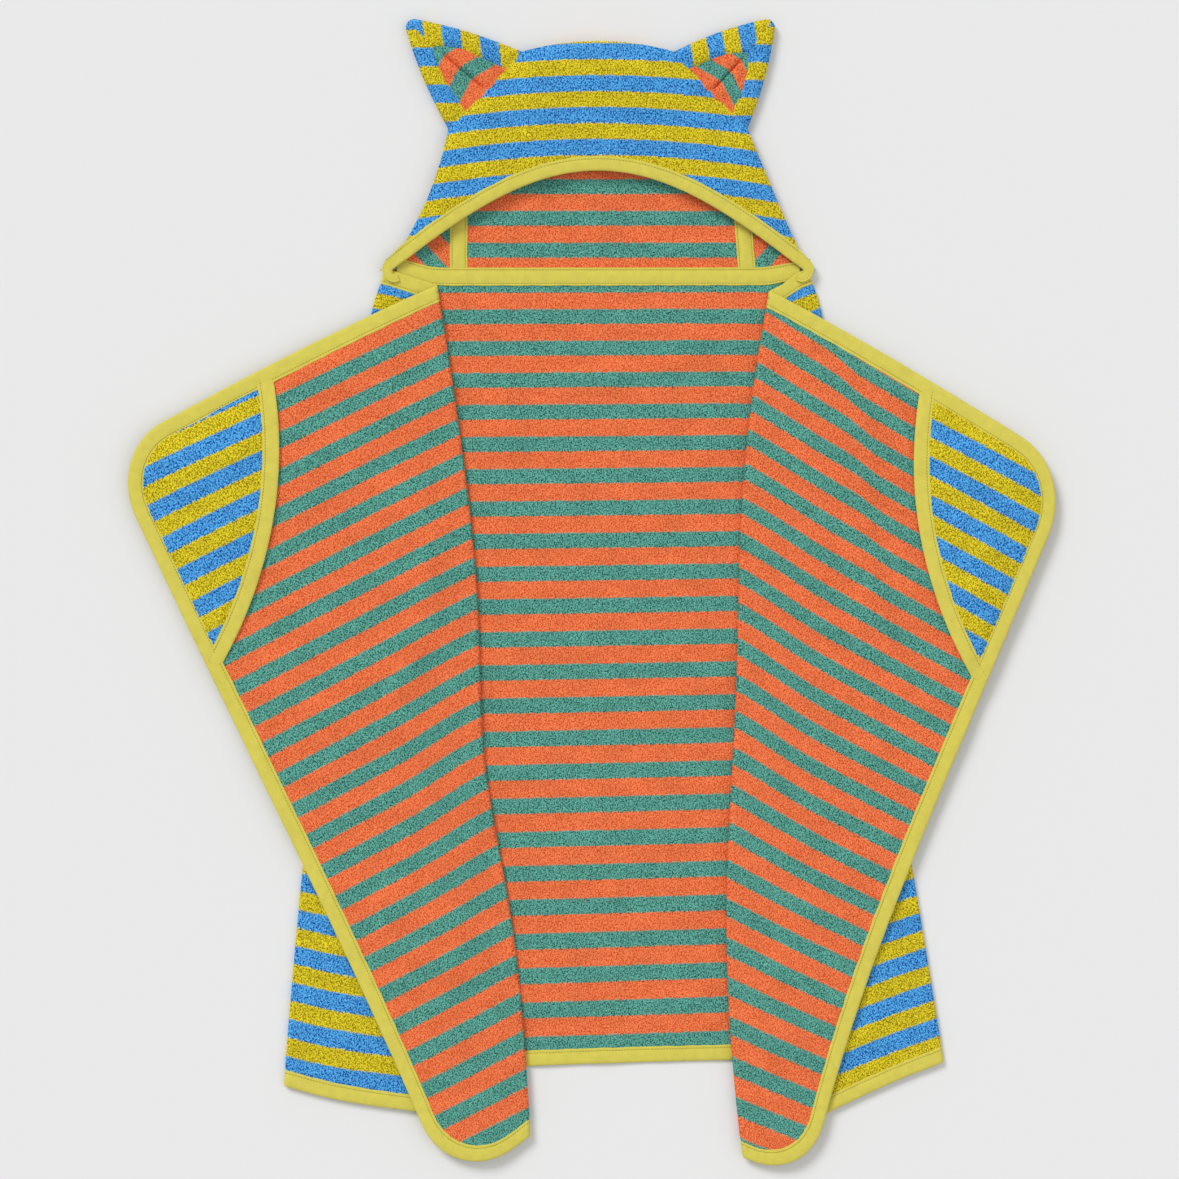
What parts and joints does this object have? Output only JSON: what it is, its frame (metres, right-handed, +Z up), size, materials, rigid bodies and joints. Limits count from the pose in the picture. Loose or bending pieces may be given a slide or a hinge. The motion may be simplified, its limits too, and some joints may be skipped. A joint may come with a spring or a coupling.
{
  "type": "hooded baby towel",
  "caption": "Hooded baby towel with pointed ears, hand pockets and bound edges, laid flat with both fronts folded back in a Z.",
  "frame": {"origin": "middle of the bounding box at floor level, the towel lying flat on its back", "axes": "+Y along the towel from its hem to its hood, +X to the viewer's right looking down at it, +Z up from the floor"},
  "size_m": [0.9174, 1.1384, 0.0223],
  "materials": {
    "inner_pile": "sheared pile towelling in orange and green stripes",
    "outer_terry": "looped terry in blue and olive yellow stripes",
    "binding_tape": "woven lime yellow tape, folded over the edge and stitched"
  },
  "bodies": {
    "root": {"back_panel": "inner_pile", "back_hem_binding": "binding_tape", "neck_binding": "binding_tape", "left_outer_fold": "outer_terry", "right_outer_fold": "outer_terry"},
    "left_side": {"left_side_panel": "outer_terry", "left_side_top_binding": "binding_tape", "left_side_hem_binding": "binding_tape", "left_inner_fold": "inner_pile"},
    "left_front": {"left_front_panel": "inner_pile", "left_front_binding": "binding_tape", "left_hand_pocket": "outer_terry"},
    "left_pocket_mouth": {"left_pocket_lip": "outer_terry", "left_pocket_binding": "binding_tape"},
    "left_ear": {"left_ear_back": "outer_terry", "left_ear_rim": "outer_terry", "left_ear_insert": "inner_pile"},
    "right_side": {"right_side_panel": "outer_terry", "right_side_top_binding": "binding_tape", "right_side_hem_binding": "binding_tape", "right_inner_fold": "inner_pile"},
    "right_front": {"right_front_panel": "inner_pile", "right_front_binding": "binding_tape", "right_hand_pocket": "outer_terry"},
    "right_pocket_mouth": {"right_pocket_lip": "outer_terry", "right_pocket_binding": "binding_tape"},
    "right_ear": {"right_ear_back": "outer_terry", "right_ear_rim": "outer_terry", "right_ear_insert": "inner_pile"},
    "hood": {"hood_back_panel": "inner_pile", "left_hood_side_panel": "inner_pile", "right_hood_side_panel": "inner_pile", "left_hood_seam_tape": "binding_tape", "right_hood_seam_tape": "binding_tape", "hood_front_panel": "outer_terry", "hood_opening_binding": "binding_tape"}
  },
  "joints": [
    {"name": "left_outer_fold_hinge", "type": "hinge", "parent": "root", "child": "left_side", "pos_m": [-0.22605, 0.32335, 0.00375], "axis": [-0.1115, -0.9938, 0], "range_deg": [0, 180], "deforming": ["left_outer_fold"]},
    {"name": "left_inner_fold_hinge", "type": "hinge", "parent": "left_side", "child": "left_front", "pos_m": [-0.16755, 0.32335, 0.00775], "axis": [-0.1028, 0.9947, 0], "range_deg": [0, 180], "deforming": ["left_inner_fold"]},
    {"name": "left_pocket_mouth_hinge", "type": "hinge", "parent": "left_front", "child": "left_pocket_mouth", "pos_m": [-0.34727, 0.19023, 0.0213], "axis": [-0.2245, -0.9745, 0], "range_deg": [0, 60]},
    {"name": "right_outer_fold_hinge", "type": "hinge", "parent": "root", "child": "right_side", "pos_m": [0.21095, 0.32335, 0.00375], "axis": [-0.1616, 0.9869, 0], "range_deg": [0, 180], "deforming": ["right_outer_fold"]},
    {"name": "right_inner_fold_hinge", "type": "hinge", "parent": "right_side", "child": "right_front", "pos_m": [0.15445, 0.32335, 0.00775], "axis": [-0.0332, -0.9995, 0], "range_deg": [0, 180], "deforming": ["right_inner_fold"]},
    {"name": "right_pocket_mouth_hinge", "type": "hinge", "parent": "right_front", "child": "right_pocket_mouth", "pos_m": [0.39939, -0.01403, 0.0213], "axis": [-0.262, 0.9651, 0], "range_deg": [0, 60]},
    {"name": "hood_hinge", "type": "hinge", "parent": "root", "child": "hood", "pos_m": [-0.00555, 0.32335, 0.016], "axis": [1, 0, 0], "range_deg": [0, 180]},
    {"name": "left_ear_hinge", "type": "hinge", "parent": "hood", "child": "left_ear", "pos_m": [-0.15455, 0.46135, 0.0145], "axis": [0.6931, 0.7208, 0], "range_deg": [0, 180]},
    {"name": "right_ear_hinge", "type": "hinge", "parent": "hood", "child": "right_ear", "pos_m": [0.14345, 0.46135, 0.0145], "axis": [0.6931, -0.7208, 0], "range_deg": [0, 180]}
  ],
  "couplings": [
    {"joint": "left_inner_fold_hinge", "follows": "left_outer_fold_hinge", "ratio": 1},
    {"joint": "right_inner_fold_hinge", "follows": "right_outer_fold_hinge", "ratio": 1}
  ]
}
